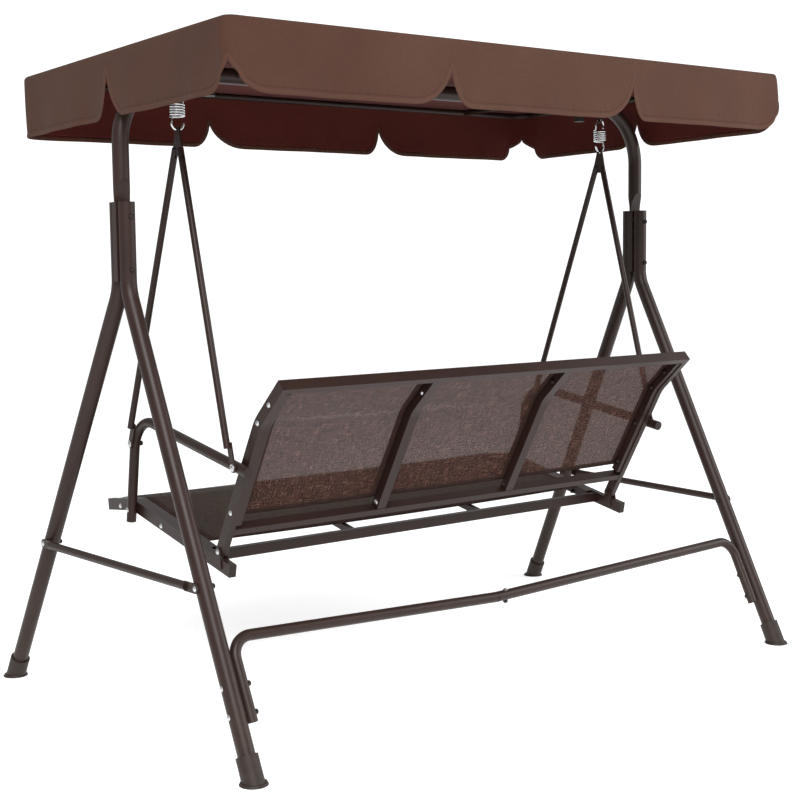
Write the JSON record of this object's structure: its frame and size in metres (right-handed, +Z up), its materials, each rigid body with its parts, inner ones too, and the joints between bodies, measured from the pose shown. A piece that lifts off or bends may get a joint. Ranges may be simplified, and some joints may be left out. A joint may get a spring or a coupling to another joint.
{
  "type": "canopy glider swing",
  "caption": "Outdoor bench swing on two A-frames, its fabric sling seat with a mesh back hung on springs from a cross beam under a tilting fabric canopy.",
  "frame": {"origin": "on the floor, centred between the four feet and straight below the cross beam", "axes": "+X to the sitter's left along the cross beam, the seat faces -Y and its back is +Y, +Z up"},
  "size_m": [1.878, 1.114, 1.5383],
  "materials": {
    "powder_coat": "satin powder coat",
    "brown_plastic": "moulded, fine grain",
    "zinc_bolts": "zinc plated",
    "spring_steel": "bright zinc",
    "canopy_cloth": "coated polyester, matt",
    "seat_cloth": "woven sling",
    "back_mesh": "open woven mesh"
  },
  "bodies": {
    "frame": {"boot_front_left": "brown_plastic", "boot_front_right": "brown_plastic", "boot_rear_left": "brown_plastic", "boot_rear_right": "brown_plastic", "leg_front_left": "powder_coat", "leg_front_right": "powder_coat", "leg_rear_left": "powder_coat", "leg_rear_right": "powder_coat", "upright_left": "powder_coat", "upright_right": "powder_coat", "top_beam": "powder_coat", "cross_tube_left": "powder_coat", "cross_tube_right": "powder_coat", "side_brace_left": "powder_coat", "side_brace_right": "powder_coat", "leg_bolts": "zinc_bolts", "short_bolts": "zinc_bolts", "cross_tube_bolts": "zinc_bolts", "frame_cap_nuts": "brown_plastic"},
    "springs": {"spring_left": "spring_steel", "spring_right": "spring_steel"},
    "seat": {"hanger_front_left": "powder_coat", "hanger_front_right": "powder_coat", "hanger_rear_left": "powder_coat", "hanger_rear_right": "powder_coat", "hanger_plate_left": "powder_coat", "hanger_plate_right": "powder_coat", "hanger_bolts": "zinc_bolts", "armrest_left": "powder_coat", "armrest_right": "powder_coat", "end_caps": "brown_plastic", "seat_rail_left": "powder_coat", "seat_rail_right": "powder_coat", "seat_front_rail": "powder_coat", "seat_rear_rail": "powder_coat", "seat_support_left": "powder_coat", "seat_support_right": "powder_coat", "seat_sling_rail_left": "powder_coat", "seat_sling_rail_right": "powder_coat", "seat_sling": "seat_cloth", "back_post_left": "powder_coat", "back_post_right": "powder_coat", "back_inner_post_left": "powder_coat", "back_inner_post_right": "powder_coat", "back_top_rail": "powder_coat", "back_bottom_rail": "powder_coat", "back_sling_rail_left": "powder_coat", "back_sling_rail_right": "powder_coat", "back_mesh_left": "back_mesh", "back_mesh_middle": "back_mesh", "back_mesh_right": "back_mesh", "seat_frame_bolts": "zinc_bolts", "seat_cap_nuts": "brown_plastic"},
    "canopy": {"canopy_bow_front": "powder_coat", "canopy_bow_rear": "powder_coat", "canopy_side_left": "powder_coat", "canopy_side_right": "powder_coat", "canopy_arms": "powder_coat", "tilt_knobs": "brown_plastic", "canopy_fabric": "canopy_cloth"}
  },
  "joints": [
    {"name": "canopy_tilt", "type": "hinge", "parent": "frame", "child": "canopy", "pos_m": [0, 0, 1.49], "axis": [1, 0, 0], "range_deg": [-20, 20]},
    {"name": "swing", "type": "hinge", "parent": "frame", "child": "springs", "pos_m": [0, 0, 1.45], "axis": [1, 0, 0], "range_deg": [-22, 22]},
    {"name": "seat_bounce", "type": "slide", "parent": "springs", "child": "seat", "axis": [0, 0, -1], "range_m": [0, 0.015], "stiffness_N_per_m": 69000, "springref_m": -0.0033, "deforming": ["spring_left", "spring_right"]}
  ]
}
